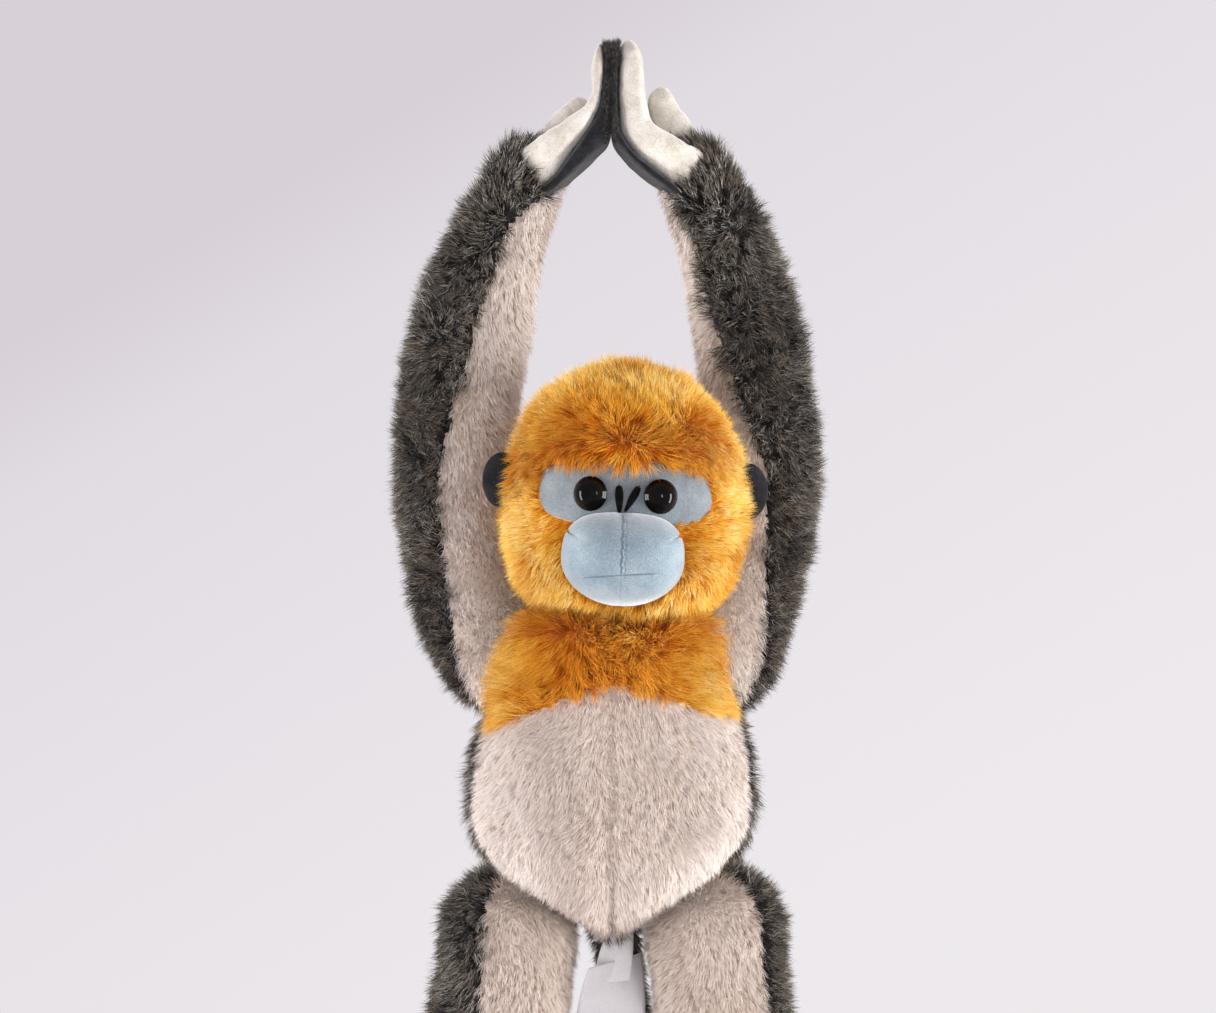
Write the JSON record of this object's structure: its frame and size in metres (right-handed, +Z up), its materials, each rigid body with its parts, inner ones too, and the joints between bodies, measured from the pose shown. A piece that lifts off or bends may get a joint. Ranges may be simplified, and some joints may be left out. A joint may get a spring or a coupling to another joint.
{
  "type": "stuffed monkey",
  "caption": "Long-armed plush monkey that hangs by its closed hands, with a turning head and swinging arms, hands, legs, feet and tail.",
  "frame": {"origin": "between the hands, just under the joined palms, where the toy hangs over a rail", "axes": "+Z up; the toy faces -Y; +X is the toy's own left"},
  "size_m": [0.1892, 0.1617, 0.5994],
  "materials": {
    "gold_fur": "long pile plush",
    "cream_fur": "short dense plush",
    "grey_fur": "long tufted pile with dark roots and pale tips",
    "pale_blue_velboa": "short pile velboa",
    "cream_velboa": "short pile velboa",
    "charcoal_velboa": "short pile velboa",
    "fibre": "loose polyester fibre",
    "eye_plastic": "gloss",
    "washer_plastic": "satin",
    "embroidery_thread": "satin",
    "label_satin": "satin",
    "loop_tape": "matte",
    "hook_tape": "matte"
  },
  "bodies": {
    "body": {"body_stuffing": "fibre", "belly_panel_left": "cream_fur", "belly_panel_right": "cream_fur", "back_panel_left": "grey_fur", "back_panel_right": "grey_fur", "bib_panel": "gold_fur", "care_label": "label_satin"},
    "head": {"head_stuffing": "fibre", "head_panel_left": "gold_fur", "head_panel_right": "gold_fur", "eye_mask": "pale_blue_velboa", "muzzle_left": "pale_blue_velboa", "muzzle_right": "pale_blue_velboa", "muzzle_stuffing": "fibre", "mouth_stitch": "embroidery_thread", "eye_left": "eye_plastic", "eye_right": "eye_plastic", "eye_washer_left": "washer_plastic", "eye_washer_right": "washer_plastic", "ear_left": "charcoal_velboa", "ear_right": "charcoal_velboa", "nostril_stitch_left": "embroidery_thread", "nostril_stitch_right": "embroidery_thread"},
    "tail": {"tail_stuffing": "fibre", "tail_cover": "grey_fur"},
    "arm_left": {"arm_stuffing_left": "fibre", "arm_outer_panel_left": "grey_fur", "arm_inner_panel_left": "cream_fur"},
    "hand_left": {"hand_stuffing_left": "fibre", "hand_back_left": "cream_velboa", "palm_left": "charcoal_velboa", "loop_patch_left": "loop_tape"},
    "leg_left": {"leg_stuffing_left": "fibre", "leg_outer_panel_left": "grey_fur", "leg_inner_panel_left": "cream_fur"},
    "foot_left": {"foot_stuffing_left": "fibre", "foot_top_left": "cream_velboa", "foot_sole_left": "charcoal_velboa"},
    "arm_right": {"arm_stuffing_right": "fibre", "arm_outer_panel_right": "grey_fur", "arm_inner_panel_right": "cream_fur"},
    "hand_right": {"hand_stuffing_right": "fibre", "hand_back_right": "cream_velboa", "palm_right": "charcoal_velboa", "hook_patch_right": "hook_tape"},
    "leg_right": {"leg_stuffing_right": "fibre", "leg_outer_panel_right": "grey_fur", "leg_inner_panel_right": "cream_fur"},
    "foot_right": {"foot_stuffing_right": "fibre", "foot_top_right": "cream_velboa", "foot_sole_right": "charcoal_velboa"}
  },
  "joints": [
    {"name": "neck_turn", "type": "hinge", "parent": "body", "child": "head", "pos_m": [0.004, -0.015, -0.213], "axis": [0, 0, 1], "range_deg": [-20, 20]},
    {"name": "tail_swing", "type": "hinge", "parent": "body", "child": "tail", "pos_m": [0, 0.043, -0.338], "axis": [1, 0, 0], "range_deg": [0, 80]},
    {"name": "shoulder_left", "type": "hinge", "parent": "body", "child": "arm_left", "pos_m": [0.048, 0.022, -0.24], "axis": [0, 1, 0], "range_deg": [0, 100]},
    {"name": "wrist_left", "type": "hinge", "parent": "arm_left", "child": "hand_left", "pos_m": [0.038, 0.012, -0.014], "axis": [0, 1, 0], "range_deg": [0, 45]},
    {"name": "hip_left", "type": "hinge", "parent": "body", "child": "leg_left", "pos_m": [0.046, 0.006, -0.368], "axis": [-1, 0, 0], "range_deg": [-25, 90]},
    {"name": "ankle_left", "type": "hinge", "parent": "leg_left", "child": "foot_left", "pos_m": [0.062, 0.012, -0.52], "axis": [-1, 0, 0], "range_deg": [-30, 20]},
    {"name": "shoulder_right", "type": "hinge", "parent": "body", "child": "arm_right", "pos_m": [-0.048, 0.022, -0.24], "axis": [0, -1, 0], "range_deg": [0, 100]},
    {"name": "wrist_right", "type": "hinge", "parent": "arm_right", "child": "hand_right", "pos_m": [-0.038, 0.012, -0.014], "axis": [0, -1, 0], "range_deg": [0, 45]},
    {"name": "hip_right", "type": "hinge", "parent": "body", "child": "leg_right", "pos_m": [-0.046, 0.006, -0.368], "axis": [-1, 0, 0], "range_deg": [-25, 90]},
    {"name": "ankle_right", "type": "hinge", "parent": "leg_right", "child": "foot_right", "pos_m": [-0.062, 0.012, -0.52], "axis": [-1, 0, 0], "range_deg": [-30, 20]}
  ]
}
